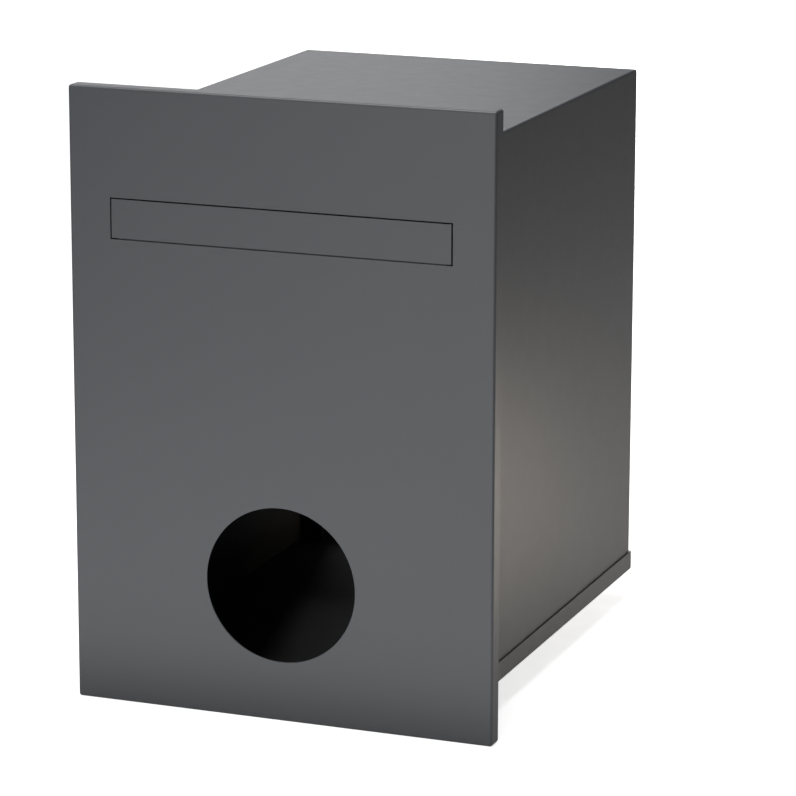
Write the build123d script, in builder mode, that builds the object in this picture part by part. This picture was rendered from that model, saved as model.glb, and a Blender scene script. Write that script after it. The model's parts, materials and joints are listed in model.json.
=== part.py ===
from build123d import *
import os
from math import cos, radians, sin

os.makedirs("parts", exist_ok=True)

# Through-wall letterbox. X runs across the front plate (right as seen from the street), Y runs into
# the wall, Z is up. The origin is the middle of the rim that the front plate seats on the wall with.

# Body that passes through the wall
body_width = 249.0
body_height = 362.4  # tray underside to top
overall_depth = 350.0  # street face of the plate to the rear frame
body_sheet = 1.0
body_bend = 1.6  # outside radius of the folds
rear_border = 16.8  # stiles and top rail seen from behind
front_flange = 6.0  # welding flange behind the front plate

# Front plate, a pan with a folded edge all round
side_overhang = 20.5
top_overhang = 24.7
bottom_overhang = 20.9
plate_return = 12.0
plate_sheet = 1.2
plate_bend = 1.8

# Letter slot and its flush flap
slot_end_margin = 7.9  # body side to slot end
slot_drop = 46.4  # body top to slot top
slot_height = 27.1
flap_gap = 0.9
flap_return = 3.5  # stiffening fold along the flap's top edge
flap_ear_rise = 6.0  # flap bottom to the lower end of its ears
rod_radius = 2.0
rod_back = 7.0  # street face to rod
rod_rise = 1.5  # slot top to rod
rod_clearance = 0.05
eye_wall = 2.0
strip_lap = 4.5  # stop strip below the flap's edge
strip_height = 14.0
strip_sheet = 1.0
strip_clearance = 0.3

# Flap brackets, rod clips and return spring
bracket_sheet = 1.2
bracket_offset = 0.3  # slot end to bracket
bracket_reach = 4.0
bracket_foot = 13.0
bracket_foot_height = 10.0
bracket_foot_rise = 6.0
clip_radius = 4.2
clip_thickness = 0.8
spring_wire = 0.8
spring_clearance = 0.4
spring_length = 7.0
spring_leg = 9.0
spring_offset = 1.2

# Newspaper hole
hole_radius = 51.5
hole_rise = 70.3  # tray underside to its centre

# Bottom tray
tray_sheet = 1.2
tray_side = 13.5
tray_gap = 0.2

# Divider shelf and rear frame
lower_opening = 111.3  # tray underside to the mid rail
mid_rail_height = 16.9
stop_lip = 11.0
stop_gap = 0.5
shelf_flange = 12.0
shelf_clearance = 0.3
shelf_tongue = 10.0  # shelf under the mid rail

# Mail door
door_gap = 1.5
door_depth = 13.9
pin_radius = 1.5
pin_in = 3.8  # door face to pin axis
pin_down = 5.5  # door top edge to pin axis
pin_head_radius = 2.1
pin_head = 1.0
pin_reach = 5.0
pin_clearance = 0.05
fixed_clearance = 0.02  # between round pieces that are fixed together

# Cam lock
lock_rise = 50.0  # door bottom edge to lock centre
barrel_radius = 9.5
barrel_flat = 8.0
barrel_length = 16.0
bezel_radius = 11.0
bezel_height = 3.0
bezel_step = 1.0
bezel_slope = 2.2
plug_radius = 6.45
plug_head_step = 0.95  # plug head beyond the plug
plug_clearance = 0.05
plug_recess = 0.4
nut_flats = 24.0
nut_thickness = 4.0
tail_side = 7.0
washer_radius = 8.6
washer_thickness = 1.0
cam_reach = 46.0
cam_width = 13.0
cam_thickness = 2.0
screw_radius = 2.0
screw_depth = 4.0
screw_head_radius = 4.2
screw_head_height = 2.4
lug_inner = 7.0
lug_outer = 9.2
lug_angle = 20.0
lock_travel = 90.0
wafer_count = 5
wafer_pitch = 2.4
wafer_thickness = 0.5
wafer_width = 5.6
wafer_height = 11.2

# Keys and split ring
key_thickness = 2.0
key_clearance = 0.15
blade_width = 8.0
blade_length = 16.0
blade_cuts = (0.9, 0.4, 1.1, 0.6, 0.8)
neck_width = 10.5
neck_length = 6.5
bow_radius = 12.0
bow_hole_radius = 3.0
bow_hole_offset = 6.0  # bow centre to hole centre
ring_radius = 9.5
ring_wire = 1.3
ring_gap = 0.3
spare_gap = 0.55
spare_turn = 15.0

# Places that several pieces share
plate_width = body_width + 2 * side_overhang
plate_height = body_height + top_overhang + bottom_overhang
front_face = -plate_return
plate_back = front_face + plate_sheet
rear_face = front_face + overall_depth
body_top = plate_height / 2 - top_overhang
tray_underside = body_top - body_height
wall_foot = tray_underside + tray_sheet
inner_half = body_width / 2 - body_sheet
flange_edge = body_width / 2 - front_flange

slot_width = body_width - 2 * slot_end_margin
slot_top = body_top - slot_drop
slot_middle = slot_top - slot_height / 2
flap_width = slot_width - 2 * flap_gap
flap_height = slot_height - 2 * flap_gap
flap_top = slot_top - flap_gap
flap_bottom = flap_top - flap_height
rod_y = front_face + rod_back
rod_z = slot_top + rod_rise
eye_radius = rod_radius + eye_wall
bracket_x = slot_width / 2 + bracket_offset
hole_z = tray_underside + hole_rise

opening_width = body_width - 2 * rear_border
opening_top = body_top - rear_border
rail_bottom = tray_underside + lower_opening
rail_top = rail_bottom + mid_rail_height
shelf_top = rail_top - body_sheet
lip_face = rear_face - door_depth - stop_gap
lip_back = lip_face - body_sheet
lip_top = rail_top + stop_lip

door_width = opening_width - 2 * door_gap
door_top = opening_top - door_gap
door_bottom = rail_top + door_gap
door_height = door_top - door_bottom
pin_y = rear_face - pin_in
pin_z = door_top - pin_down
lock_z = door_bottom + lock_rise

barrel_end = rear_face - barrel_length
bezel_face = rear_face + bezel_height
plug_face = bezel_face - plug_recess
plug_head_back = rear_face + bezel_step
washer_face = barrel_end - plug_clearance
cam_face = washer_face - washer_thickness
cam_back = cam_face - cam_thickness
blade_tip = plug_face - blade_length
keyway_end = blade_tip - 2 * key_clearance

bow_y = plug_face + key_clearance + neck_length + bow_radius
hole_y = bow_y + bow_hole_offset
ring_z = lock_z - bow_hole_radius + ring_gap + ring_wire / 2 - ring_radius
spare_z = ring_z - ring_radius + ring_wire / 2 + spare_gap - bow_hole_radius

hole_axis = Axis((0, 0, lock_z), (0, 1, 0))


def upright(y):
    """Upright plane across the box at depth y, drawn as the street sees it; it faces the street."""
    return Plane.XZ.offset(-y)


def from_behind(y):
    """Upright plane across the box at depth y, drawn as the yard sees it; it faces the yard."""
    return Plane(origin=(0, y, 0), x_dir=(-1, 0, 0), z_dir=(0, 1, 0))


def folded_pan(plane, middle, width, height, depth, sheet, bend):
    """Pan folded from one sheet: its rim lies on the plane and its face stands off by the depth."""
    with BuildPart() as pan:
        with BuildSketch(plane):
            with Locations(middle):
                Rectangle(width, height)
        extrude(amount=depth)
        outward = Axis(plane.origin, plane.z_dir)
        fillet(pan.faces().sort_by(outward)[-1].edges(), radius=bend)
        offset(amount=-sheet, openings=pan.faces().sort_by(outward)[0])
    return pan.part


def folded_strip(plane, path, sheet, bend, length):
    """Strip folded from sheet: the path is the middle of the sheet, bend its outside radius."""
    with BuildPart() as strip:
        with BuildSketch(plane):
            with BuildLine():
                FilletPolyline(*path, radius=bend - sheet / 2)
            trace(line_width=sheet)
        extrude(amount=length)
    return strip.part


def save(piece, name):
    """Label a finished piece and write it as one STEP file."""
    piece.part.label = name
    export_step(piece.part, f"parts/{name}.step")


# ---- Front plate -------------------------------------------------------------------------------
front_pan = folded_pan(upright(0), (0, 0), plate_width, plate_height, plate_return, plate_sheet, plate_bend)

with BuildPart() as front_plate:
    add(front_pan)
    with BuildSketch(upright(0)):
        with Locations((0, slot_middle)):
            Rectangle(slot_width, slot_height)
        with Locations((0, hole_z)):
            Circle(hole_radius)
    extrude(amount=plate_return, mode=Mode.SUBTRACT)
save(front_plate, "front_plate")

# ---- Body wrapper: top and sides in one sheet, folded in at both ends -----------------------------
with BuildPart() as body_wrapper:
    with BuildSketch(upright(plate_back)):
        with Locations((0, (body_top + wall_foot) / 2)):
            Rectangle(body_width, body_top - wall_foot)
    extrude(amount=plate_back - rear_face)
    foot = body_wrapper.faces().sort_by(Axis.Z)[0]
    fillet(body_wrapper.edges() - foot.edges(), radius=body_bend)
    offset(amount=-body_sheet, openings=body_wrapper.faces().sort_by(Axis.Z)[0])
    # Open front inside the welding flange, and one tall opening between the rear stiles
    for depth, half_width, head in (
        (plate_back, flange_edge, body_top - front_flange),
        (rear_face - body_bend, opening_width / 2, opening_top),
    ):
        with BuildSketch(upright(depth)):
            with Locations((0, (head + tray_underside) / 2)):
                Rectangle(2 * half_width, head - tray_underside)
        extrude(amount=-body_bend, mode=Mode.SUBTRACT)
save(body_wrapper, "body_wrapper")

# ---- Bottom tray, its edges turned up outside the wrapper -----------------------------------------
tray_half = body_width / 2 + tray_gap + tray_sheet
tray_rear = rear_face + tray_gap + tray_sheet
flange_half = flange_edge - shelf_clearance

with BuildPart() as bottom_tray:
    with BuildSketch(Plane.XY.offset(tray_underside)):
        with Locations((0, (plate_back + tray_rear) / 2)):
            Rectangle(2 * tray_half, tray_rear - plate_back)
    extrude(amount=tray_side)
    underside = bottom_tray.faces().sort_by(Axis.Z)[0]
    fillet(underside.edges().sort_by(Axis.Y)[1:], radius=tray_sheet + tray_gap)
    top_face = bottom_tray.faces().sort_by(Axis.Z)[-1]
    front_end = bottom_tray.faces().sort_by(Axis.Y)[0]
    offset(amount=-tray_sheet, openings=[top_face, front_end])
    with BuildSketch(upright(plate_back)):
        with Locations((0, tray_underside + shelf_flange / 2)):
            Rectangle(2 * flange_half, shelf_flange)
    extrude(amount=-tray_sheet)
save(bottom_tray, "bottom_tray")

# ---- Divider shelf over the newspaper compartment -------------------------------------------------
shelf_front = plate_back + body_bend + shelf_clearance
shelf_rear = lip_back - shelf_clearance
flange_middle = inner_half - body_sheet / 2
deck_middle = shelf_top - body_sheet / 2
flange_top = shelf_top + shelf_flange
deck_path = (
    (-flange_middle, flange_top),
    (-flange_middle, deck_middle),
    (flange_middle, deck_middle),
    (flange_middle, flange_top),
)
front_path = (
    (plate_back + body_sheet / 2, flange_top),
    (plate_back + body_sheet / 2, deck_middle),
    (shelf_front + body_bend, deck_middle),
)
deck = folded_strip(upright(shelf_front), deck_path, body_sheet, body_bend, shelf_front - shelf_rear)
front_fold = folded_strip(
    Plane.YZ.offset(-flange_half), front_path, body_sheet, body_bend, 2 * flange_half
)

with BuildPart() as divider_shelf:
    add(deck)
    add(front_fold)
    tongue_half = opening_width / 2 - shelf_clearance
    with BuildSketch(Plane.XY.offset(shelf_top)):
        with Locations((0, shelf_rear + shelf_tongue / 2)):
            Rectangle(2 * tongue_half, shelf_tongue)
    extrude(amount=-body_sheet)
save(divider_shelf, "divider_shelf")

# ---- Rear frame: mid rail, top jamb and the two stop angles ---------------------------------------
half_sheet = body_sheet / 2
face_middle = rear_face - half_sheet
lip_middle = lip_back + half_sheet
behind_flange = rear_face - body_sheet
rail_path = (
    (lip_middle, rail_bottom + half_sheet),
    (face_middle, rail_bottom + half_sheet),
    (face_middle, rail_top - half_sheet),
    (lip_middle, rail_top - half_sheet),
    (lip_middle, lip_top),
)
rail_strip = folded_strip(
    Plane.YZ.offset(-opening_width / 2), rail_path, body_sheet, body_bend, opening_width
)

with BuildPart() as mid_rail:
    add(rail_strip)
save(mid_rail, "mid_rail")

jamb_half = opening_width / 2 + body_sheet
jamb_path = (
    (behind_flange, opening_top + half_sheet),
    (lip_middle, opening_top + half_sheet),
    (lip_middle, opening_top + stop_lip),
)
jamb_strip = folded_strip(Plane.YZ.offset(-jamb_half), jamb_path, body_sheet, body_bend, 2 * jamb_half)

with BuildPart() as top_jamb:
    add(jamb_strip)
save(top_jamb, "top_jamb")

for name, side in (("stop_angle_left", -1), ("stop_angle_right", 1)):
    angle_path = (
        (side * (opening_width / 2 + half_sheet), behind_flange),
        (side * (opening_width / 2 + half_sheet), lip_middle),
        (side * (opening_width / 2 - stop_lip), lip_middle),
    )
    angle_strip = folded_strip(
        Plane.XY.offset(wall_foot), angle_path, body_sheet, body_bend, opening_top - wall_foot
    )
    with BuildPart() as stop_angle:
        add(angle_strip)
        # The lip starts above the mid rail and ends short of the pin, where the door's top edge swings in;
        # the jamb runs on from the tray to the top
        lip_foot = lip_top + shelf_clearance
        lip_head = pin_z - pin_down
        for low, high in ((wall_foot, lip_foot), (lip_head, opening_top)):
            with BuildSketch(Plane.XY.offset(low)):
                with Locations((side * (opening_width - stop_lip) / 2, lip_middle)):
                    Rectangle(stop_lip, 2 * body_bend)
            extrude(amount=high - low, mode=Mode.SUBTRACT)
        with BuildSketch(Plane.YZ.offset(side * jamb_half)):
            with Locations((pin_y, pin_z)):
                Circle(pin_radius + pin_clearance)
        extrude(amount=-side * 2 * body_sheet, mode=Mode.SUBTRACT)
    save(stop_angle, name)

# ---- Letter flap with its ears, stop strip, rod, brackets, clips and spring -----------------------
with BuildPart() as letter_flap:
    with BuildSketch(upright(plate_back)):
        with Locations((0, (flap_top + flap_bottom) / 2)):
            Rectangle(flap_width, flap_height)
    extrude(amount=plate_sheet)
    with BuildSketch(upright(front_face)):
        with Locations((0, flap_top - plate_sheet / 2)):
            Rectangle(flap_width, plate_sheet)
    extrude(amount=-flap_return)
    for side in (-1, 1):
        with BuildSketch(Plane.YZ.offset(side * (flap_width / 2 - (1 + side) * plate_sheet / 2))):
            with BuildLine():
                Polyline(
                    (front_face, flap_top - plate_sheet),
                    (plate_back + plate_sheet, flap_top - plate_sheet),
                    (rod_y - rod_radius, rod_z),
                    (rod_y + rod_radius, rod_z),
                    (plate_back + flap_return, flap_bottom + flap_ear_rise),
                    (front_face, flap_bottom + flap_ear_rise),
                    close=True,
                )
            make_face()
            with Locations((rod_y, rod_z)):
                Circle(eye_radius)
                Circle(rod_radius + rod_clearance, mode=Mode.SUBTRACT)
        extrude(amount=plate_sheet)
save(letter_flap, "letter_flap")

with BuildPart() as flap_stop_strip:
    strip_half = flap_width / 2 - 3 * plate_sheet
    with BuildSketch(upright(plate_back)):
        with Locations((0, flap_bottom + strip_height / 2)):
            Rectangle(2 * strip_half, strip_height)
    extrude(amount=-strip_sheet - strip_clearance)
    with BuildSketch(upright(plate_back + strip_clearance)):
        with Locations((0, flap_bottom - strip_lap / 2)):
            Rectangle(2 * strip_half, strip_lap)
    extrude(amount=-strip_sheet)
save(flap_stop_strip, "flap_stop_strip")

clip_x = bracket_x + bracket_sheet
rod_end = clip_x + 2 * clip_thickness
with BuildPart() as flap_hinge_rod:
    with BuildSketch(Plane.YZ):
        with Locations((rod_y, rod_z)):
            Circle(rod_radius)
    extrude(amount=rod_end, both=True)
    chamfer(flap_hinge_rod.edges().filter_by(GeomType.CIRCLE), length=rod_radius / 5)
save(flap_hinge_rod, "flap_hinge_rod")

for suffix, side in (("left", -1), ("right", 1)):
    with BuildPart() as flap_bracket:
        with BuildSketch(Plane.YZ.offset(side * bracket_x)):
            foot_top = rod_z + bracket_foot_rise + bracket_foot_height
            upright_low = rod_z - eye_radius
            upright_depth = rod_y + bracket_reach - plate_back
            with Locations((plate_back + upright_depth / 2, (foot_top + upright_low) / 2)):
                Rectangle(upright_depth, foot_top - upright_low)
            with Locations((rod_y, rod_z)):
                Circle(rod_radius + fixed_clearance, mode=Mode.SUBTRACT)
        extrude(amount=side * bracket_sheet)
        with BuildSketch(upright(plate_back)):
            foot_middle = foot_top - bracket_foot_height / 2
            with Locations((side * (bracket_x + bracket_sheet - bracket_foot / 2), foot_middle)):
                Rectangle(bracket_foot, bracket_foot_height)
        extrude(amount=-bracket_sheet)
    save(flap_bracket, f"flap_bracket_{suffix}")

    with BuildPart() as rod_clip:
        with BuildSketch(Plane.YZ.offset(side * clip_x)):
            with Locations((rod_y, rod_z)):
                Circle(clip_radius)
                Circle(rod_radius + fixed_clearance, mode=Mode.SUBTRACT)
        extrude(amount=side * clip_thickness)
    save(rod_clip, f"rod_clip_{suffix}")

# The return spring as its coil's envelope, with one leg up the plate and one down the flap
coil_inner = rod_radius + spring_clearance
coil_outer = coil_inner + spring_wire
coil_start = -flap_width / 2 + plate_sheet + spring_offset
leg_y = rod_y - coil_inner - spring_wire / 2
with BuildPart() as flap_spring:
    with BuildSketch(Plane.YZ.offset(coil_start)):
        with Locations((rod_y, rod_z)):
            Circle(coil_outer)
            Circle(coil_inner, mode=Mode.SUBTRACT)
    extrude(amount=spring_length)
    for leg_x, rise in (
        (coil_start + spring_wire / 2, spring_leg),
        (coil_start + spring_length - spring_wire / 2, -spring_leg),
    ):
        with BuildSketch(Plane.XY.offset(rod_z)):
            with Locations((leg_x, leg_y)):
                Circle(spring_wire / 2)
        extrude(amount=rise)
save(flap_spring, "flap_spring")

# ---- Mail door and its pivot pins -----------------------------------------------------------------
door_pan = folded_pan(
    from_behind(rear_face - door_depth),
    (0, (door_top + door_bottom) / 2),
    door_width,
    door_height,
    door_depth,
    body_sheet,
    body_bend,
)

with BuildPart() as door_panel:
    add(door_pan)
    with BuildSketch(from_behind(rear_face)):
        with Locations((0, lock_z)):
            Circle(barrel_radius + key_clearance)
            Rectangle(2 * (barrel_flat + key_clearance), 3 * barrel_radius, mode=Mode.INTERSECT)
    extrude(amount=-2 * body_sheet, mode=Mode.SUBTRACT)
    with BuildSketch(Plane.YZ):
        with Locations((pin_y, pin_z)):
            Circle(pin_radius + fixed_clearance)
    extrude(amount=body_width / 2, both=True, mode=Mode.SUBTRACT)
save(door_panel, "door_panel")

for name, side in (("door_pin_left", -1), ("door_pin_right", 1)):
    with BuildPart() as door_pin:
        head_x = door_width / 2 - body_sheet
        for start, radius, length in (
            (head_x - pin_head, pin_head_radius, pin_head),
            (head_x - pin_head, pin_radius, pin_head + body_sheet + door_gap + pin_reach),
        ):
            with BuildSketch(Plane.YZ.offset(side * start)):
                with Locations((pin_y, pin_z)):
                    Circle(radius)
            extrude(amount=side * length)
    save(door_pin, name)

# ---- Cam lock: housing, nut, plug, wafers, stop washer, cam and screw -----------------------------
bore_radius = plug_radius + plug_clearance
plug_head_radius = plug_radius + plug_head_step
counterbore_radius = plug_head_radius + plug_clearance


def lock_ray(radius, degrees):
    """Point of the lock's own plane at a radius and an angle counted up from +X."""
    return (radius * cos(radians(degrees)), lock_z + radius * sin(radians(degrees)))


with BuildPart() as lock_housing:
    with BuildSketch(Plane.XY.offset(lock_z)):
        with BuildLine():
            Polyline(
                (bore_radius, barrel_end),
                (barrel_radius, barrel_end),
                (barrel_radius, rear_face),
                (bezel_radius, rear_face),
                (bezel_radius, plug_head_back),
                (bezel_radius - bezel_slope, bezel_face),
                (counterbore_radius, bezel_face),
                (counterbore_radius, plug_head_back),
                (bore_radius, plug_head_back),
                close=True,
            )
        make_face()
    revolve(axis=hole_axis)
    # Two flats keep the barrel from turning in the door
    with BuildSketch(upright(barrel_end)):
        for side in (-1, 1):
            with Locations((side * (barrel_flat + barrel_radius), lock_z)):
                Rectangle(2 * barrel_radius, 4 * barrel_radius)
    extrude(amount=-barrel_length, mode=Mode.SUBTRACT)
    # Lug that the stop washer turns against
    with BuildSketch(upright(barrel_end)):
        with BuildLine():
            Polyline(
                lock_ray(lug_inner, 90 - lug_angle / 2),
                lock_ray(lug_outer, 90 - lug_angle / 2),
                lock_ray(lug_outer, 90 + lug_angle / 2),
                lock_ray(lug_inner, 90 + lug_angle / 2),
                close=True,
            )
        make_face()
    extrude(amount=washer_thickness)
save(lock_housing, "lock_housing")

with BuildPart() as lock_nut:
    with BuildSketch(upright(rear_face - body_sheet)):
        with Locations((0, lock_z)):
            RegularPolygon(nut_flats / 2, 6, major_radius=False)
            Circle(barrel_radius + fixed_clearance, mode=Mode.SUBTRACT)
    extrude(amount=nut_thickness)
save(lock_nut, "lock_nut")

first_wafer = plug_head_back - wafer_pitch
wafer_places = [first_wafer - place * wafer_pitch for place in range(wafer_count)]
keyway_width = key_thickness + 2 * key_clearance
keyway_height = blade_width + 2 * key_clearance

with BuildPart() as lock_plug:
    for start, radius, length in (
        (plug_face, plug_head_radius, plug_face - plug_head_back - plug_clearance),
        (plug_face, plug_radius, plug_face - barrel_end),
    ):
        with BuildSketch(upright(start)):
            with Locations((0, lock_z)):
                Circle(radius)
        extrude(amount=length)
    with BuildSketch(upright(barrel_end)):
        with Locations((0, lock_z)):
            Rectangle(tail_side, tail_side)
    extrude(amount=barrel_end - cam_back)
    with BuildSketch(upright(plug_face)):
        with Locations((0, lock_z)):
            Rectangle(keyway_width, keyway_height)
    extrude(amount=plug_face - keyway_end, mode=Mode.SUBTRACT)
    for place in wafer_places:
        with BuildSketch(upright(place)):
            with Locations((0, lock_z)):
                Rectangle(wafer_width + 2 * key_clearance, 3 * plug_radius)
        slot_depth = (wafer_thickness + 2 * plug_clearance) / 2
        extrude(amount=slot_depth, both=True, mode=Mode.SUBTRACT)
    with BuildSketch(upright(cam_back)):
        with Locations((0, lock_z)):
            Circle(screw_radius)
    extrude(amount=-screw_depth, mode=Mode.SUBTRACT)
save(lock_plug, "lock_plug")

with BuildPart() as lock_wafers:
    for place in wafer_places:
        with BuildSketch(upright(place)):
            with Locations((0, lock_z)):
                Rectangle(wafer_width, wafer_height)
                Rectangle(keyway_width + key_clearance, keyway_height + key_clearance, mode=Mode.SUBTRACT)
        extrude(amount=wafer_thickness / 2, both=True)
save(lock_wafers, "lock_wafers")

# The washer's notch lets the lug travel from one end to the other
square_hole = tail_side + 2 * fixed_clearance
notch_margin = lug_angle / 2 + 1
notch_from = 90 - notch_margin
notch_to = 90 + lock_travel + notch_margin
with BuildPart() as stop_washer:
    with BuildSketch(upright(washer_face)):
        with Locations((0, lock_z)):
            Circle(washer_radius)
        with BuildLine():
            Polyline(
                (0, lock_z),
                lock_ray(2 * washer_radius, notch_from),
                lock_ray(3 * washer_radius, (notch_from + notch_to) / 2),
                lock_ray(2 * washer_radius, notch_to),
                close=True,
            )
        make_face(mode=Mode.SUBTRACT)
        with Locations((0, lock_z)):
            Circle(lug_inner - key_clearance)
            Rectangle(square_hole, square_hole, mode=Mode.SUBTRACT)
    extrude(amount=washer_thickness)
save(stop_washer, "stop_washer")

with BuildPart() as lock_cam:
    with BuildSketch(upright(cam_face)) as cam_outline:
        with Locations((cam_reach / 2, lock_z)):
            Rectangle(cam_reach, cam_width)
        fillet(cam_outline.vertices().group_by(Axis.X)[-1], radius=cam_width / 4)
        with Locations((0, lock_z)):
            Circle(washer_radius)
            Rectangle(square_hole, square_hole, mode=Mode.SUBTRACT)
    extrude(amount=cam_thickness)
save(lock_cam, "lock_cam")

with BuildPart() as cam_screw:
    with BuildSketch(upright(cam_back)):
        with Locations((0, lock_z)):
            Circle(screw_head_radius)
    extrude(amount=screw_head_height)
    fillet(cam_screw.edges().sort_by(Axis.Y)[0], radius=screw_head_height / 2)
    with BuildSketch(upright(cam_back)):
        with Locations((0, lock_z)):
            Circle(screw_radius - fixed_clearance)
    extrude(amount=-screw_depth + 2 * fixed_clearance)
    with BuildSketch(upright(cam_back - screw_head_height)):
        with Locations((0, lock_z)):
            Rectangle(screw_head_radius, screw_radius / 2)
            Rectangle(screw_radius / 2, screw_head_radius)
    extrude(amount=-screw_head_height / 2, mode=Mode.SUBTRACT)
save(cam_screw, "cam_screw")


# ---- Keys on their split ring ---------------------------------------------------------------------
def cut_key(plane):
    """Key drawn in the plane about its bow hole, with the blade towards -x."""
    neck_end = -bow_hole_offset - bow_radius
    shoulder = neck_end - neck_length
    tip = shoulder - blade_length
    half_blade = blade_width / 2
    pitch = blade_length / (len(blade_cuts) + 1)
    with BuildPart() as key:
        with BuildSketch(plane) as outline:
            with BuildLine():
                Polyline(
                    (shoulder, half_blade),
                    (tip + half_blade / 2, half_blade),
                    (tip, half_blade / 2),
                    (tip, -half_blade / 2),
                    (tip + half_blade / 2, -half_blade),
                    (shoulder, -half_blade),
                    close=True,
                )
            make_face()
            with Locations((neck_end - neck_length / 2 + bow_radius / 4, 0)):
                Rectangle(neck_length + bow_radius / 2, neck_width)
            with Locations((-bow_hole_offset, 0)):
                Circle(bow_radius)
            Circle(bow_hole_radius, mode=Mode.SUBTRACT)
            # V cuts along both edges of the blade
            for place, cut in enumerate(blade_cuts):
                centre = shoulder - (place + 1) * pitch
                for edge in (-1, 1):
                    with BuildLine():
                        Polyline(
                            (centre - pitch / 3, edge * half_blade),
                            (centre, edge * (half_blade - cut)),
                            (centre + pitch / 3, edge * half_blade),
                            close=True,
                        )
                    make_face(mode=Mode.SUBTRACT)
        extrude(amount=key_thickness / 2, both=True)
        # Guide groove milled down both faces of the blade
        for face in (-1, 1):
            with BuildSketch(plane.offset(face * key_thickness / 2)):
                with Locations((tip + blade_length / 2, 0)):
                    Rectangle(blade_length, blade_width / 6)
            extrude(amount=-face * key_thickness / 5, mode=Mode.SUBTRACT)
    return key.part


key_plane = Plane(origin=(0, hole_y, lock_z), x_dir=(0, 1, 0), z_dir=(1, 0, 0))
key_blank = cut_key(key_plane)
with BuildPart() as lock_key:
    add(key_blank)
save(lock_key, "lock_key")

with BuildPart() as split_ring:
    with BuildSketch(Plane.YZ):
        with Locations((hole_y, ring_z + ring_radius)):
            SlotOverall(2 * ring_wire, ring_wire)
    revolve(axis=Axis((0, hole_y, ring_z), (0, 1, 0)))
save(split_ring, "split_ring")

turn = radians(spare_turn)
spare_plane = Plane(origin=(0, hole_y, spare_z), x_dir=(0, 0, 1), z_dir=(cos(turn), sin(turn), 0))
spare_blank = cut_key(spare_plane)
with BuildPart() as spare_key:
    add(spare_blank)
save(spare_key, "spare_key")
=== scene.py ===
import json
from math import asin, cos, pi, radians, sin, tau

import bmesh
import bpy
from mathutils import Matrix, Vector


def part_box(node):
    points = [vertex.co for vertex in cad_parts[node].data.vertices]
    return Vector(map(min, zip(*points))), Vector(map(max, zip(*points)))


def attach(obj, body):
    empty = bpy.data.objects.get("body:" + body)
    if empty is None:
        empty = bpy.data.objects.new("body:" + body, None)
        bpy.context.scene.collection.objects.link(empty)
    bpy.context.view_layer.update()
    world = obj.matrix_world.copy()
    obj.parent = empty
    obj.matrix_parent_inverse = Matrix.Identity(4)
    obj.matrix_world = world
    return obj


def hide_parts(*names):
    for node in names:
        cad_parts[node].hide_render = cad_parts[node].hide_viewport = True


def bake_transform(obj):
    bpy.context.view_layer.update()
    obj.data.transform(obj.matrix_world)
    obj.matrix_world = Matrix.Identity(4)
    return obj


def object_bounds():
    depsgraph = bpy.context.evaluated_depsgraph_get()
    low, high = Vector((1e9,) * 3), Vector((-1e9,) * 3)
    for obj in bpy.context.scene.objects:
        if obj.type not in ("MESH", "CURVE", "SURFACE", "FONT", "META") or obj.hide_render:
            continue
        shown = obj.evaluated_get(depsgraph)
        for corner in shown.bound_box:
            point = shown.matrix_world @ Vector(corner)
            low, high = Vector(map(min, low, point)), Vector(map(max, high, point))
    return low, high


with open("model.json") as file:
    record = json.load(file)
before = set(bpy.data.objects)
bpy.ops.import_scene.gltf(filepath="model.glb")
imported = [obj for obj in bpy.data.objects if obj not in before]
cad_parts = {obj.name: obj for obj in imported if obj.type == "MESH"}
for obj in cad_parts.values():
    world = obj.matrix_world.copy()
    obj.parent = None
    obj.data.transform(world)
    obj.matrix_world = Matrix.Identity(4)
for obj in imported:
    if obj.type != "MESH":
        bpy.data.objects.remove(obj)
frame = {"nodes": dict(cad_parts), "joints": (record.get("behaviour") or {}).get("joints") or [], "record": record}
nodes = frame["nodes"]
cad_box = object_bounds()

X, Y, Z = Vector((1, 0, 0)), Vector((0, 1, 0)), Vector((0, 0, 1))


# ---- Front plate -------------------------------------------------------------------------------
# The street face of the letterbox: a shallow pan folded from 1.2 mm steel, with the letter slot and
# the newspaper hole punched through its face. It is powder coated charcoal with a fine satin grain.
plate_sheet = 0.0012
plate_bend = 0.0018
slot_gap = 0.0009
slot_height = 0.0271
hole_radius = 0.0515
hole_margin = 0.0045  # between the hole and the window that is cut and filled round it
punched_edge = 0.00028  # powder rounds a cut edge about this much

charcoal_low = (0.0510, 0.0540, 0.0605)
charcoal_high = (0.0550, 0.0580, 0.0645)
fleck_tint = (0.095, 0.098, 0.104)
# painted shade: the colour of the coat inside the box, darkened so that the hollow reads dark
painted_inside_shade_tint = (0.020, 0.0205, 0.022)
fleck_size = 0.0005
fleck_share = 0.5
grain_size = 0.0007
grain_depth = 0.000016
peel_size = 0.0042
peel_depth = 0.000030
panel_size = 0.11  # the sheet itself isn't quite flat
panel_depth = 0.00010
cloud_size = 0.09
coat_dulness = 0.43
inside_dulness = 0.4  # added to the roughness inside the box, where the coat is also painted darker as shade


class Wire:
    """An output of a shader node. Arithmetic on it adds Math nodes to the same material."""

    def __init__(self, tree, socket):
        self.tree = tree
        self.socket = socket

    def node(self, kind, settings, inputs, output=0):
        """A new node of this kind: its settings first, then the values or wires of its inputs."""
        made = self.tree.nodes.new(kind)
        for name, value in settings.items():
            setattr(made, name, value)
        for place, value in inputs.items():
            if isinstance(value, Wire):
                self.tree.links.new(value.socket, made.inputs[place])
            else:
                made.inputs[place].default_value = value
        return Wire(self.tree, made.outputs[output])

    def math(self, operation, first, second):
        return self.node("ShaderNodeMath", {"operation": operation}, {0: first, 1: second})

    def __add__(self, other):
        return self.math("ADD", self, other)

    def __sub__(self, other):
        return self.math("SUBTRACT", self, other)

    def __rsub__(self, other):
        return self.math("SUBTRACT", other, self)

    def __mul__(self, other):
        return self.math("MULTIPLY", self, other)

    def __abs__(self):
        return self.math("ABSOLUTE", self, 0)

    __radd__ = __add__
    __rmul__ = __mul__


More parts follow.
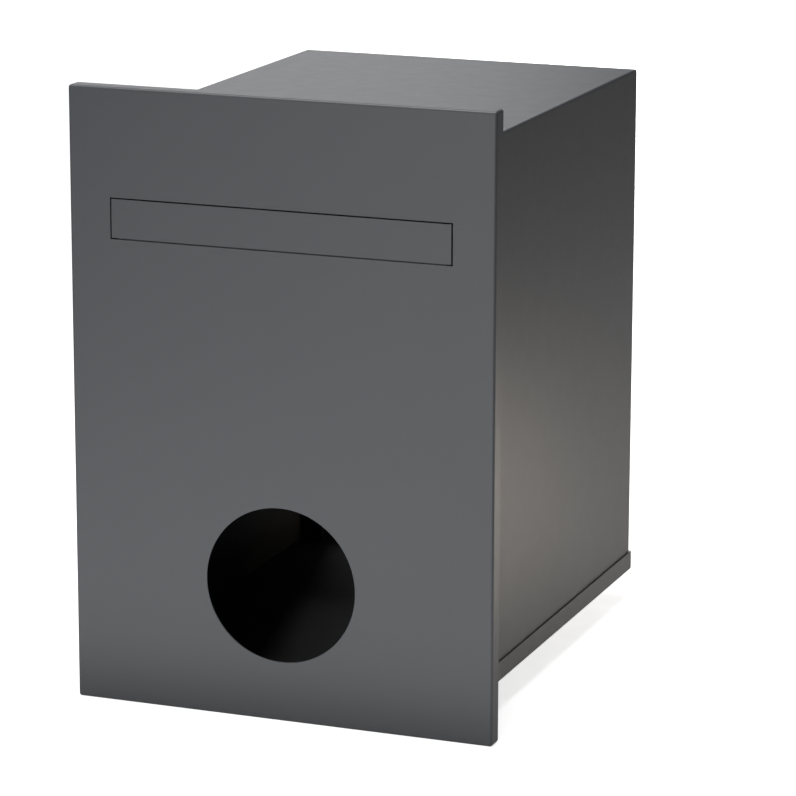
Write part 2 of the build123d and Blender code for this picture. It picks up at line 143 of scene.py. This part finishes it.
def noise(place, size, detail=2.0):
    """Even noise around 0.5 whose grains are about this many metres across."""
    return place.node("ShaderNodeTexNoise", {}, {"Vector": place, "Scale": 1 / size, "Detail": detail})


def rise(value, low, high):
    """0 below low, 1 above high, and a soft rise in between."""
    limits = {"Value": value, "From Min": low, "From Max": high}
    return value.node("ShaderNodeMapRange", {"interpolation_type": "SMOOTHSTEP"}, limits)


def tint(share, first, second):
    """The colour that lies this share of the way from the first to the second."""
    colours = {6: first if isinstance(first, Wire) else (*first, 1), 7: (*second, 1)}
    return share.node("ShaderNodeMix", {"data_type": "RGBA"}, {0: share, **colours}, output=2)


def stretched(place, factors):
    """The same place with each direction scaled by its own factor."""
    return place.node("ShaderNodeVectorMath", {"operation": "MULTIPLY"}, {0: place, 1: factors})


def relief(height, depth, under=None):
    """A surface normal that follows the height, which stands for this many metres."""
    inputs = {"Height": height, "Distance": depth}
    if under:
        inputs["Normal"] = under
    return height.node("ShaderNodeBump", {}, inputs)


def new_finish(name, metallic):
    """A material, the shader of its surface, and the place on the piece in metres."""
    made = bpy.data.materials.new(name)
    made.use_nodes = True
    tree = made.node_tree
    surface = tree.nodes["Principled BSDF"]
    surface.inputs["Metallic"].default_value = metallic
    return made, surface, Wire(tree, tree.nodes.new("ShaderNodeTexCoord").outputs["Object"])


def feed(surface, **wires):
    """Links wires to the sockets of a surface shader; an underscore in a name is a space."""
    for name, wire in wires.items():
        wire.tree.links.new(wire.socket, surface.inputs[name.replace("_", " ")])


def powder_coat(name, paint_shade_inside):
    """Charcoal powder coat: finely flecked, with a grain over a soft orange peel. If asked, it is painted darker
    inside the box as painted shade.
    """
    made, surface, place = new_finish(name, metallic=0.0)
    colour = tint(noise(place, cloud_size), charcoal_low, charcoal_high)
    colour = tint(rise(noise(place, fleck_size), 0.60, 0.74) * fleck_share, colour, fleck_tint)
    dulness = coat_dulness + noise(place, 0.012) * 0.06
    # Painted shade: faces inside the wrapper's box are darkened towards the inside shade tint and dulled, so the
    # hollow reads dark.
    if paint_shade_inside:
        across = abs(place.node("ShaderNodeSeparateXYZ", {}, {0: place}))
        along = place.node("ShaderNodeSeparateXYZ", {}, {0: place}, output=1)
        upward = place.node("ShaderNodeSeparateXYZ", {}, {0: place}, output=2)
        box_low, box_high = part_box("body_wrapper")
        half_sheet = 0.0005
        sides = rise(box_high.x - across, half_sheet, 2 * half_sheet)
        front = rise(along, box_low.y - half_sheet, box_low.y)
        rear = rise(box_high.y - along, half_sheet, 2 * half_sheet)
        roof = rise(box_high.z - upward, half_sheet, 2 * half_sheet)
        foot = rise(upward, box_low.z - half_sheet, box_low.z)
        inside_shade_mask = sides * front * rear * roof * foot
        colour = tint(inside_shade_mask, colour, painted_inside_shade_tint)
        dulness = dulness + inside_shade_mask * inside_dulness
    grain = relief(noise(place, grain_size), grain_depth)
    peel = relief(noise(place, peel_size, 1.0), peel_depth, grain)
    panel = relief(noise(place, panel_size, 1.0), panel_depth, peel)
    feed(surface, Base_Color=colour, Roughness=dulness, Normal=panel)
    return made


def folded_box(low, high, open_sides, bend):
    """The outer skin of a box folded from sheet, without its open sides, its folds rounded."""
    skin = bmesh.new()
    stretch = Matrix.Diagonal((*(high - low), 1))
    bmesh.ops.create_cube(skin, size=1, matrix=Matrix.Translation((low + high) / 2) @ stretch)
    away = [f for f in skin.faces if any(f.normal.dot(side) > 0.9 for side in open_sides)]
    bmesh.ops.delete(skin, geom=away, context="FACES")
    folds = [e for e in skin.edges if not e.is_boundary]
    bmesh.ops.bevel(skin, geom=folds, offset=bend, affect="EDGES", segments=6, profile=0.5, material=-1)
    return skin


def cut_window(skin, depth, half_width, low, high):
    """Cuts an upright window, centred across the box, out of the skin that is flat at this depth."""
    for point, normal in ((X * half_width, X), (-X * half_width, X), (Z * low, Z), (Z * high, Z)):
        flat = [f for f in skin.faces if all(abs(v.co.y - depth) < 1e-6 for v in f.verts)]
        parts = {part for f in flat for part in (f, *f.edges, *f.verts)}
        bmesh.ops.bisect_plane(skin, geom=list(parts), plane_co=point, plane_no=normal)
    window = []
    for face in skin.faces:
        middle = face.calc_center_median()
        if abs(middle.y - depth) < 1e-6 and abs(middle.x) < half_width and low < middle.z < high:
            window.append(face)
    bmesh.ops.delete(skin, geom=window, context="FACES")


def punch_hole(skin, depth, height, radius, margin, facing, segments):
    """Punches a round hole through the flat skin: a square window, filled again up to the circle."""
    half = radius + margin
    cut_window(skin, depth, half, height - half, height + half)
    border = []
    for edge in skin.edges:
        middle = (edge.verts[0].co + edge.verts[1].co) / 2
        in_face = abs(middle.y - depth) < 1e-6
        in_window = abs(middle.x) < half + 1e-6 and abs(middle.z - height) < half + 1e-6
        if edge.is_boundary and in_face and in_window:
            border.append(edge)
    upright = Matrix.Translation((0, depth, height)) @ Matrix.Rotation(pi / 2, 4, "X")
    circle = bmesh.ops.create_circle(skin, cap_ends=False, radius=radius, segments=segments, matrix=upright)
    rim = list({edge for v in circle["verts"] for edge in v.link_edges})
    bmesh.ops.triangle_fill(skin, use_beauty=True, edges=border + rim, normal=facing)


def new_piece(name, shape, finish, sheet=0.0, rounding=0.0, grade=3):
    """Makes a piece from a bmesh: sheet gives a skin its thickness, rounding breaks its sharp edges."""
    mesh = bpy.data.meshes.new(name)
    for face in shape.faces:
        face.smooth = True
    shape.to_mesh(mesh)
    shape.free()
    mesh.materials.append(finish)
    piece = bpy.data.objects.new(name, mesh)
    bpy.context.scene.collection.objects.link(piece)
    if sheet:
        thicken = piece.modifiers.new("sheet", "SOLIDIFY")
        thicken.thickness = sheet
        thicken.offset = -1
        thicken.use_even_offset = True
    if rounding:
        rounded = piece.modifiers.new("edges", "BEVEL")
        rounded.width = rounding
        rounded.segments = grade
        rounded.limit_method = "ANGLE"
        rounded.angle_limit = radians(40)
        rounded.use_clamp_overlap = True
    flat = piece.modifiers.new("shading", "WEIGHTED_NORMAL")
    flat.weight = 90
    return piece


coat = powder_coat("powder_coat", paint_shade_inside=False)
# This coat is painted darker inside the box as painted shade, so the hollow reads dark.
coat_with_painted_shade_inside = powder_coat("powder_coat_of_box", paint_shade_inside=True)

plate_low, plate_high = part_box("front_plate")
flap_low, flap_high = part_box("letter_flap")
street_face = plate_low.y
slot_foot = flap_low.z - slot_gap
openings = {o["name"]: o["box_m"] for o in frame["record"]["physics"]["openings"]}
hole_height = (openings["newspaper_hole"][0][2] + openings["newspaper_hole"][1][2]) / 2

plate = folded_box(plate_low, plate_high, [Y], plate_bend)
cut_window(plate, street_face, flap_high.x + slot_gap, slot_foot, slot_foot + slot_height)
punch_hole(plate, street_face, hole_height, hole_radius, hole_margin, -Y, 128)
street_plate = new_piece("street_plate", plate, coat_with_painted_shade_inside, plate_sheet, punched_edge)
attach(street_plate, "housing")
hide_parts("front_plate")


# ---- Body wrapper ------------------------------------------------------------------------------
# Top and sides of the box in one 1 mm sheet, folded in at the front to a welding flange and at the
# rear to the stiles and the top rail of the frame that the mail door hangs in.
body_sheet = 0.001
body_bend = 0.0016
front_flange = 0.006

wrap_low, wrap_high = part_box("body_wrapper")
door_low, door_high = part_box("door_panel")
door_gap = 0.0015
frame_half = door_high.x + door_gap
frame_top = door_high.z + door_gap
below = 0.001

wrapper = folded_box(wrap_low, wrap_high, [-Z], body_bend)
cut_window(wrapper, wrap_low.y, wrap_high.x - front_flange, wrap_low.z - below, wrap_high.z - front_flange)
cut_window(wrapper, wrap_high.y, frame_half, wrap_low.z - below, frame_top)
box_wrapper = new_piece("box_wrapper", wrapper, coat_with_painted_shade_inside, body_sheet, punched_edge)
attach(box_wrapper, "housing")
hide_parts("body_wrapper")


# ---- Bottom tray -------------------------------------------------------------------------------
# The floor of the box, a tray whose edges are turned up outside the wrapper and spot welded to it;
# at the front a narrower flange is turned up and welded behind the plate.
tray_sheet = 0.0012
tray_bend = 0.0014
tray_flange = 0.012

tray_low, tray_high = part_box("bottom_tray")
flange_gap = 0.0003
flange_half = wrap_high.x - front_flange - flange_gap
tray = folded_box(tray_low, tray_high, [Z, -Y], tray_bend)
for side in (1, -1):
    whole = list(tray.verts) + list(tray.edges) + list(tray.faces)
    bmesh.ops.bisect_plane(tray, geom=whole, plane_co=X * side * flange_half, plane_no=X)
front_edge = [
    e for e in tray.edges
    if all(abs(v.co.y - tray_low.y) < 1e-6 and abs(v.co.x) < flange_half + 1e-6 for v in e.verts)
]
turned_up = bmesh.ops.extrude_edge_only(tray, edges=front_edge)["geom"]
flange_edge = [v for v in turned_up if isinstance(v, bmesh.types.BMVert)]
bmesh.ops.translate(tray, vec=Z * tray_flange, verts=flange_edge)
floor_tray = new_piece("floor_tray", tray, coat_with_painted_shade_inside, tray_sheet, punched_edge)
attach(floor_tray, "housing")
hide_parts("bottom_tray")


# ---- Shelf and rear frame ----------------------------------------------------------------------
# The shelf between letters and newspapers, the mid rail under the door, the jamb over it and the two
# stop angles beside it: folded 1 mm strips, welded in before the whole box is coated.
def refinish(names, finish):
    """Gives CAD nodes a finish in place of their plain colour."""
    for name in names:
        for place in nodes[name].material_slots:
            place.link = "OBJECT"
            place.material = finish


refinish(("divider_shelf", "top_jamb", "stop_angle_left", "stop_angle_right", "mid_rail"), coat_with_painted_shade_inside)


# ---- Letter flap -------------------------------------------------------------------------------
# A flush flap that fills the slot, with an ear at each end that swings on the rod, and a stop strip
# welded behind it that laps the lower edge of the slot. Both are coated with the plate.
refinish(("letter_flap", "flap_stop_strip"), coat)


# ---- Flap rod, brackets and clips --------------------------------------------------------------
# A 4 mm bright zinc rod carried by two small angle brackets behind the plate; a spring steel clip at
# each end keeps it from sliding out.
zinc_dull = (0.40, 0.41, 0.43)
zinc_bright = (0.62, 0.63, 0.64)
zinc_warm = (0.60, 0.57, 0.47)


def zinc_plate():
    """Bright zinc: faint spangle, a warm cast in places, fine drawing lines and scuffs."""
    made, surface, place = new_finish("zinc_plate", metallic=1.0)
    spangle = noise(place, 0.0035, 3.0)
    colour = tint(spangle, zinc_dull, zinc_bright)
    colour = tint(rise(noise(place, 0.02), 0.48, 0.75) * 0.35, colour, zinc_warm)
    lines = noise(stretched(place, (0.06, 1.0, 1.0)), 0.00035, 3.0)
    roughness = 0.24 + noise(place, 0.004) * 0.16 + rise(lines, 0.55, 0.7) * 0.08
    feed(surface, Base_Color=colour, Roughness=roughness, Normal=relief(lines, 0.000006))
    return made


zinc = zinc_plate()
refinish(("flap_hinge_rod", "flap_bracket_left", "flap_bracket_right"), zinc)

spring_dark = (0.20, 0.20, 0.21)
spring_light = (0.38, 0.38, 0.39)


def spring_steel():
    """Oiled spring wire and clips: dark, with drawing marks and small blued patches."""
    made, surface, place = new_finish("spring_steel", metallic=1.0)
    colour = tint(noise(place, 0.0025, 3.0), spring_dark, spring_light)
    colour = tint(rise(noise(place, 0.005), 0.5, 0.8) * 0.4, colour, (0.13, 0.15, 0.20))
    marks = noise(place, 0.00025, 2.0)
    feed(surface, Base_Color=colour, Roughness=0.26 + marks * 0.14, Normal=relief(marks, 0.000003))
    return made


steel_wire = spring_steel()
refinish(("rod_clip_left", "rod_clip_right"), steel_wire)


# ---- Flap spring -------------------------------------------------------------------------------
# A torsion spring wound from 0.8 mm wire round the left end of the rod. One leg stands against the
# plate, the other presses on the flap, and the coil winds up as a letter pushes the flap in.
spring_wire = 0.0008
spring_leg = 0.009
spring_turns = 7
wind_step = radians(9)

rod_low, rod_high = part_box("flap_hinge_rod")
rod = (rod_low + rod_high) / 2
spring_low, spring_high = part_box("flap_spring")
coil_radius = rod.y - spring_low.y - spring_wire / 2


def part_of(made, kind):
    return [part for part in made if isinstance(part, kind)]


def run(wire, end, offset):
    """Carries the open end of a wire straight on by this offset and returns the new end."""
    made = bmesh.ops.extrude_edge_only(wire, edges=part_of(end, bmesh.types.BMEdge))["geom"]
    verts = part_of(made, bmesh.types.BMVert)
    bmesh.ops.translate(wire, vec=offset, verts=verts)
    edges = [e for e in part_of(made, bmesh.types.BMEdge) if all(v in verts for v in e.verts)]
    return verts + edges


def wind(wire, end, centre, axis, angle, advance):
    """Winds the open end of a wire round an axis, moving along it by the advance in all."""
    steps = max(3, round(abs(angle) / wind_step))
    made = bmesh.ops.spin(
        wire, geom=end, cent=centre, axis=axis, dvec=axis * (advance / steps), angle=angle,
        steps=steps, use_merge=False, use_duplicate=False,
    )
    return made["geom_last"]


def wire_end(wire, centre, turn, radius, sides):
    """The round start of a wire, closed by a cap."""
    place = Matrix.Translation(centre) @ turn
    made = bmesh.ops.create_circle(wire, cap_ends=True, radius=radius, segments=sides, matrix=place)
    return made["verts"] + list({e for v in made["verts"] for e in v.link_edges})


def close_end(wire, end):
    """Caps the last end of a wire and turns all faces outwards."""
    bmesh.ops.contextual_create(wire, geom=part_of(end, bmesh.types.BMEdge))
    bmesh.ops.recalc_face_normals(wire, faces=wire.faces)


spring = bmesh.new()
plate_leg = Vector((spring_low.x + spring_wire / 2, rod.y - coil_radius, rod.z))
end = wire_end(spring, plate_leg + Z * spring_leg, Matrix.Identity(4), spring_wire / 2, 12)
end = run(spring, end, -Z * spring_leg)
coil_length = spring_high.x - spring_low.x - spring_wire
end = wind(spring, end, Vector((plate_leg.x, rod.y, rod.z)), X, spring_turns * tau, coil_length)
end = run(spring, end, -Z * spring_leg)
close_end(spring, end)
wound_spring = new_piece("wound_flap_spring", spring, steel_wire)
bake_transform(wound_spring)
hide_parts("flap_spring")


# ---- Mail door ---------------------------------------------------------------------------------
# A pan folded from 1 mm steel and hung on two short pins at its top corners, so that it swings up
# and out. The lock sits in a hole near its lower edge.
lock_hole = 0.0098
lock_margin = 0.004

plug_low, plug_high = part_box("lock_plug")
lock_height = (plug_low.z + plug_high.z) / 2
door = folded_box(door_low, door_high, [-Y], body_bend)
punch_hole(door, door_high.y, lock_height, lock_hole, lock_margin, Y, 48)
mail_door = new_piece("mail_door", door, coat, body_sheet, punched_edge)
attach(mail_door, "door")
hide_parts("door_panel")
refinish(("door_pin_left", "door_pin_right"), zinc)


# ---- Cam lock ----------------------------------------------------------------------------------
# A chromed zinc barrel with a polished bezel outside the door, a hexagon nut inside it, and a plug
# with five brass wafers that turns the cam behind the mid rail. A screw holds cam and stop washer.
barrel_radius = 0.0095
barrel_flat = 0.008
thread_pitch = 0.0015
thread_depth = 0.0006
thread_start = 0.0006
thread_crest = (0.4, 0.6)  # where the crest begins and ends, in shares of the pitch
barrel_setback = 0.001  # the CAD housing's stop lug reaches this far past the barrel
bezel_height = 0.003
bezel_radius = 0.011
bezel_step = 0.001
bezel_crown = 0.0088
bezel_edge = 0.00028
seat_radius = 0.00745
bore_radius = 0.0065

chrome_tint = (0.80, 0.81, 0.82)
chrome_smoke = (0.62, 0.64, 0.66)


def chrome_plate():
    """Polished chrome: nearly clean, with faint smears, hairline scratches and turning marks."""
    made, surface, place = new_finish("chrome_plate", metallic=1.0)
    smear = rise(noise(place, 0.006, 3.0), 0.45, 0.75)
    colour = tint(smear * 0.5, chrome_tint, chrome_smoke)
    hairs = noise(stretched(place, (1.0, 0.5, 0.08)), 0.00022, 3.0)
    scratch = rise(hairs, 0.64, 0.70)
    roughness = 0.07 + smear * 0.06 + scratch * 0.10
    feed(surface, Base_Color=colour, Roughness=roughness, Normal=relief(hairs, 0.0000012))
    return made


chrome = chrome_plate()
housing_low, housing_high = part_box("lock_housing")
bezel_face = housing_high.y
barrel_end = housing_low.y + barrel_setback
barrel_face = bezel_face - bezel_height


def turned(shape, profile, steps):
    """Turns a closed profile of (radius, depth) points round the lock's centre line."""
    verts = [shape.verts.new((radius, depth, lock_height)) for radius, depth in profile]
    edges = [shape.edges.new((a, b)) for a, b in zip(verts, verts[1:] + verts[:1])]
    made = bmesh.ops.spin(
        shape, geom=verts + edges, cent=Z * lock_height, axis=Y, angle=tau, steps=steps,
        use_merge=True, use_duplicate=False,
    )
    bmesh.ops.remove_doubles(shape, verts=shape.verts, dist=1e-7)
    return made


threads = int((barrel_face - barrel_end) / thread_pitch) - 1
thread = []
for turn in range(threads):
    root = barrel_end + thread_start + turn * thread_pitch
    thread.append((barrel_radius - thread_depth, root))
    thread += [(barrel_radius, root + thread_pitch * share) for share in thread_crest]
barrel = bmesh.new()
barrel_profile = [
    (bore_radius, barrel_end),
    (barrel_radius - thread_depth, barrel_end),
    *thread,
    (barrel_radius - thread_depth, barrel_face),
    (bore_radius, barrel_face),
]
turned(barrel, barrel_profile, 72)
for side in (1, -1):
    whole = list(barrel.verts) + list(barrel.edges) + list(barrel.faces)
    cut = bmesh.ops.bisect_plane(
        barrel, geom=whole, plane_co=X * side * barrel_flat, plane_no=X * side, clear_outer=True
    )
    bmesh.ops.triangle_fill(barrel, use_beauty=True, edges=part_of(cut["geom_cut"], bmesh.types.BMEdge))
bezel_profile = [
    (bore_radius, barrel_face),
    (bezel_radius, barrel_face),
    (bezel_radius, barrel_face + bezel_step),
    (bezel_crown, bezel_face),
    (seat_radius, bezel_face),
    (seat_radius, barrel_face + bezel_step),
    (bore_radius, barrel_face + bezel_step),
]
bezel = bmesh.new()
turned(bezel, bezel_profile, 128)
sharp = [e for e in bezel.edges if e.calc_face_angle(0) > radians(30)]
bmesh.ops.bevel(bezel, geom=sharp, offset=bezel_edge, affect="EDGES", segments=4, profile=0.5, material=-1)
bezel_mesh = bpy.data.meshes.new("bezel")
bezel.to_mesh(bezel_mesh)
bezel.free()
barrel.from_mesh(bezel_mesh)
bpy.data.meshes.remove(bezel_mesh)
bmesh.ops.recalc_face_normals(barrel, faces=barrel.faces)
lock_barrel = new_piece("chromed_lock_barrel", barrel, chrome)
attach(lock_barrel, "door")
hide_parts("lock_housing")
refinish(("lock_plug",), chrome)
refinish(("lock_nut", "stop_washer", "lock_cam", "cam_screw"), zinc)

brass_dark = (0.42, 0.30, 0.12)
brass_light = (0.72, 0.56, 0.28)


def stamped_brass():
    """Wafers stamped from brass strip: rolling lines and dull, darkened patches."""
    made, surface, place = new_finish("stamped_brass", metallic=1.0)
    colour = tint(noise(place, 0.002, 3.0), brass_dark, brass_light)
    lines = noise(stretched(place, (0.1, 1.0, 1.0)), 0.0002, 2.0)
    feed(surface, Base_Color=colour, Roughness=0.28 + lines * 0.15, Normal=relief(lines, 0.000003))
    return made


refinish(("lock_wafers",), stamped_brass())


# ---- Keys --------------------------------------------------------------------------------------
# Two flat keys pressed from nickel-plated brass: a round bow with a raised rim and a small hole, a
# shouldered neck, and a blade with a milled groove and notched edges.
key_half = 0.001
blade_length = 0.016
blade_half = 0.004
neck_length = 0.0065
neck_half = 0.00525
bow_radius = 0.012
bow_offset = 0.006  # bow centre to hole centre
bow_hole = 0.003
rim_width = 0.0011
rim_slope = 0.0002
rim_rise = 0.0003
groove_half = 0.0009
groove_depth = 0.0004
notch_depths = (0.0009, 0.0004, 0.0011, 0.0006, 0.0008)
notch_share = 0.24
arc_steps = 84
hole_steps = 40
key_edge = 0.00008

nickel_tint = (0.72, 0.71, 0.68)
nickel_dull = (0.50, 0.49, 0.46)


def nickel_plate():
    """Nickel plate that has been carried about: dull in places and scratched both ways."""
    made, surface, place = new_finish("nickel_plate", metallic=1.0)
    dull = rise(noise(place, 0.004, 4.0), 0.40, 0.72)
    colour = tint(dull * 0.6, nickel_tint, nickel_dull)
    one_way = noise(stretched(place, (1.0, 0.10, 1.0)), 0.00028, 3.0)
    other_way = noise(stretched(place, (1.0, 1.0, 0.10)), 0.00032, 3.0)
    scratch = rise(one_way, 0.62, 0.68) + rise(other_way, 0.63, 0.69)
    roughness = 0.13 + dull * 0.12 + scratch * 0.10
    feed(surface, Base_Color=colour, Roughness=roughness, Normal=relief(one_way + other_way, 0.0000025))
    return made


nickel = nickel_plate()


def key_blank():
    """A key lying flat about its hole, blade towards -X. Its upper half is made, then mirrored."""
    key = bmesh.new()
    shoulder = -bow_offset - bow_radius - neck_length
    tip = shoulder - blade_length
    pitch = blade_length / (len(notch_depths) + 1)
    notched = []
    for place, depth in enumerate(notch_depths):
        centre = shoulder - (place + 1) * pitch
        wide = pitch * notch_share
        notched += [(centre + wide, blade_half), (centre, blade_half - depth)]
        notched.append((centre - wide, blade_half))
    upper_edge = [(shoulder, blade_half), *notched, (tip, blade_half / 2)]
    blade_outline = upper_edge + [(x, -y) for x, y in reversed(upper_edge)]
    blade_verts = [key.verts.new((x, y, key_half)) for x, y in blade_outline]
    blade = key.faces.new(blade_verts)

    # The bow is an arc from one side of the neck round to the other, with the hole at the origin
    neck_angle = asin(neck_half / bow_radius)
    arc = []
    for step in range(arc_steps + 1):
        angle = pi + neck_angle + (tau - 2 * neck_angle) * step / arc_steps
        arc.append(key.verts.new((bow_radius * cos(angle) - bow_offset, bow_radius * sin(angle), key_half)))
    corners = [key.verts.new((shoulder, side * neck_half, key_half)) for side in (-1, 1)]
    neck = key.faces.new([arc[0], arc[-1], corners[1], blade_verts[0], blade_verts[-1], corners[0]])
    rim = [key.edges.new(pair) for pair in zip(arc, arc[1:])]
    rim.append(next(e for e in neck.edges if arc[0] in e.verts and arc[-1] in e.verts))
    lift = Matrix.Translation(Z * key_half)
    hole = bmesh.ops.create_circle(key, cap_ends=False, radius=bow_hole, segments=hole_steps, matrix=lift)
    rim += list({e for v in hole["verts"] for e in v.link_edges})
    filled = bmesh.ops.triangle_fill(key, use_beauty=True, edges=rim, normal=Z)["geom"]
    bow = part_of(filled, bmesh.types.BMFace)
    bmesh.ops.recalc_face_normals(key, faces=key.faces)
    if blade.normal.z < 0:
        bmesh.ops.reverse_faces(key, faces=key.faces)

    # Raised rims round the bow and its hole, then the groove along the blade
    for inward, down in ((rim_width, 0), (rim_slope, -rim_rise)):
        bmesh.ops.inset_region(
            key, faces=bow, use_boundary=True, use_even_offset=True, thickness=inward, depth=down
        )
    for side in (1, -1):
        blade_faces = [f for f in key.faces if f.calc_center_median().x < shoulder]
        parts = {part for f in blade_faces for part in (f, *f.edges, *f.verts)}
        bmesh.ops.bisect_plane(key, geom=list(parts), plane_co=Y * side * groove_half, plane_no=Y)
    groove = [
        f for f in key.faces
        if f.calc_center_median().x < shoulder and all(abs(v.co.y) < groove_half + 1e-6 for v in f.verts)
    ]
    bmesh.ops.inset_region(
        key, faces=groove, use_boundary=True, use_even_offset=True, thickness=rim_slope, depth=-groove_depth
    )

    border = [e for e in key.edges if e.is_boundary]
    wall = bmesh.ops.extrude_edge_only(key, edges=border)["geom"]
    for vert in part_of(wall, bmesh.types.BMVert):
        vert.co.z = 0
    whole = list(key.verts) + list(key.edges) + list(key.faces)
    bmesh.ops.mirror(key, geom=whole, matrix=Matrix.Identity(4), merge_dist=1e-6, axis="Z")
    bmesh.ops.recalc_face_normals(key, faces=key.faces)
    return key


def laid(along, thick, place):
    """The matrix that lays a flat key with its length, its thickness and its hole like this."""
    across = thick.cross(along)
    return Matrix.Translation(place) @ Matrix((along, across, thick)).transposed().to_4x4()


key_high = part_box("lock_key")[1]
key_hole = Vector((0, key_high.y - bow_radius + bow_offset, lock_height))
spare_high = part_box("spare_key")[1]
spare_hole = Vector((0, key_hole.y, spare_high.z - bow_radius + bow_offset))
spare_joint = next(j for j in frame["joints"] if j["name"] == "spare_swing")
spare_thick = Vector(spare_joint["axis"]).normalized()
for name, node, body, place in (
    ("key_in_lock", "lock_key", "key", laid(Y, X, key_hole)),
    ("key_on_ring", "spare_key", "spare", laid(Z, spare_thick, spare_hole)),
):
    blank = key_blank()
    bmesh.ops.transform(blank, matrix=place, verts=blank.verts)
    key_piece = new_piece(name, blank, nickel, rounding=key_edge, grade=2)
    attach(key_piece, body)
    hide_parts(node)


# ---- Split ring --------------------------------------------------------------------------------
# Nickel-plated spring wire wound nearly twice round, the two turns side by side, with one short
# crossing where the wire passes from the first turn to the second.
ring_wire = 0.0013
ring_squash = 0.94
crossing = radians(34)
ring_low, ring_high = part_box("split_ring")
ring_middle = (ring_low + ring_high) / 2
ring_radius = (ring_high.x - ring_low.x) / 2 - ring_wire / 2
ring = bmesh.new()
turn_centre = ring_middle - Y * ring_wire / 2
start = turn_centre - X * ring_radius
end = wire_end(ring, start, Matrix.Scale(ring_squash, 4, X), ring_wire / 2, 14)
end = wind(ring, end, turn_centre, Y, tau - crossing, 0)
end = wind(ring, end, turn_centre, Y, crossing, ring_wire)
end = wind(ring, end, turn_centre + Y * ring_wire, Y, tau - crossing, 0)
close_end(ring, end)
split_ring = new_piece("wound_split_ring", ring, nickel)
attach(split_ring, "ring")
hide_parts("split_ring")


# ---- Floor, light and camera -------------------------------------------------------------------
# A pale floor under the foot of the plate, a large soft light overhead, one behind for the sheen on the
# roof, a low one for the rear, two in front and a small warm one low on the right. The camera stands
# in front of the box, to its right and a little above it.
floor_tint = (0.86, 0.86, 0.86)
floor_speck = (0.80, 0.80, 0.80)
floor_half = 6.0
sky_seen = 0.96
sky_light = 0.05  # what the sky adds to the box, all round
floor_glow = 0.68  # seen by the camera alone: it pales the floor without lighting the box

floor = bmesh.new()
foot = plate_low.z
level = Matrix.Translation(Z * foot)
bmesh.ops.create_grid(floor, x_segments=4, y_segments=4, size=floor_half, matrix=level)
floor_mesh = bpy.data.meshes.new("floor")
floor.to_mesh(floor_mesh)
floor.free()
floor_piece = bpy.data.objects.new("floor", floor_mesh)
bpy.context.scene.collection.objects.link(floor_piece)
floor_finish, floor_surface, floor_place = new_finish("pale_floor", metallic=0.0)
feed(
    floor_surface,
    Base_Color=tint(noise(floor_place, 0.004), floor_tint, floor_speck),
    Roughness=0.55 + noise(floor_place, 0.02) * 0.1,
)
seen = floor_place.node("ShaderNodeLightPath", {}, {})
feed(floor_surface, Emission_Color=tint(seen, (0, 0, 0), (1, 1, 1)))
floor_surface.inputs["Emission Strength"].default_value = floor_glow
floor_mesh.materials.append(floor_finish)

world = bpy.data.worlds.new("studio")
world.use_nodes = True
sky = world.node_tree
backdrop = sky.nodes["Background"]
backdrop.inputs["Color"].default_value = (1, 1, 1, 1)
open_sky = Wire(sky, sky.nodes.new("ShaderNodeLightPath").outputs["Is Camera Ray"])
sky.links.new((open_sky * (sky_seen - sky_light) + sky_light).socket, backdrop.inputs["Strength"])
bpy.context.scene.world = world


def soft_light(name, place, target, size, watts, colour=(1, 1, 1)):
    """A square soft light that faces its target and isn't itself seen by the camera."""
    data = bpy.data.lights.new(name, "AREA")
    data.size = size
    data.energy = watts
    data.color = colour
    light = bpy.data.objects.new(name, data)
    place, target = Vector(place), Vector(target)
    aim = (target - place).to_track_quat("-Z", "Y").to_matrix().to_4x4()
    light.matrix_world = Matrix.Translation(place) @ aim
    light.visible_camera = False
    bpy.context.scene.collection.objects.link(light)


middle = (cad_box[0] + cad_box[1]) / 2
soft_light("overhead", (-0.1, -0.15, 1.6), middle, 1.2, 36)
soft_light("behind", (-1.3, 3.0, 1.0), middle, 1.0, 6.8)
soft_light("rear_fill", (-1.2, 4.3, -0.02), middle, 0.36, 50)
soft_light("front_card", (-0.12, -0.47, foot + 0.002), (-0.12, -0.47, 1.0), 0.8, 2.2)
soft_light("low_front", (-0.15, -1.5, 0.05), middle, 0.5, 4.5)
warm = (1.0, 0.88, 0.74)
soft_light("low_right", (0.40, 0.40, foot + 0.004), (0.12, 0.34, -0.18), 0.22, 0.85, warm)

camera_data = bpy.data.cameras.new("camera")
camera_data.sensor_width = 36
camera_data.lens = 171.96
camera = bpy.data.objects.new("camera", camera_data)
camera_place = Vector((0.9107, -2.1754, 0.5832))
swing, dip, roll = radians(20.99), radians(13.69), radians(0.14)
camera.matrix_world = (
    Matrix.Translation(camera_place)
    @ Matrix.Rotation(swing, 4, "Z")
    @ Matrix.Rotation(pi / 2 - dip, 4, "X")
    @ Matrix.Rotation(roll, 4, "Z")
)
bpy.context.scene.collection.objects.link(camera)
bpy.context.scene.camera = camera
bpy.context.scene.view_settings.view_transform = "Standard"
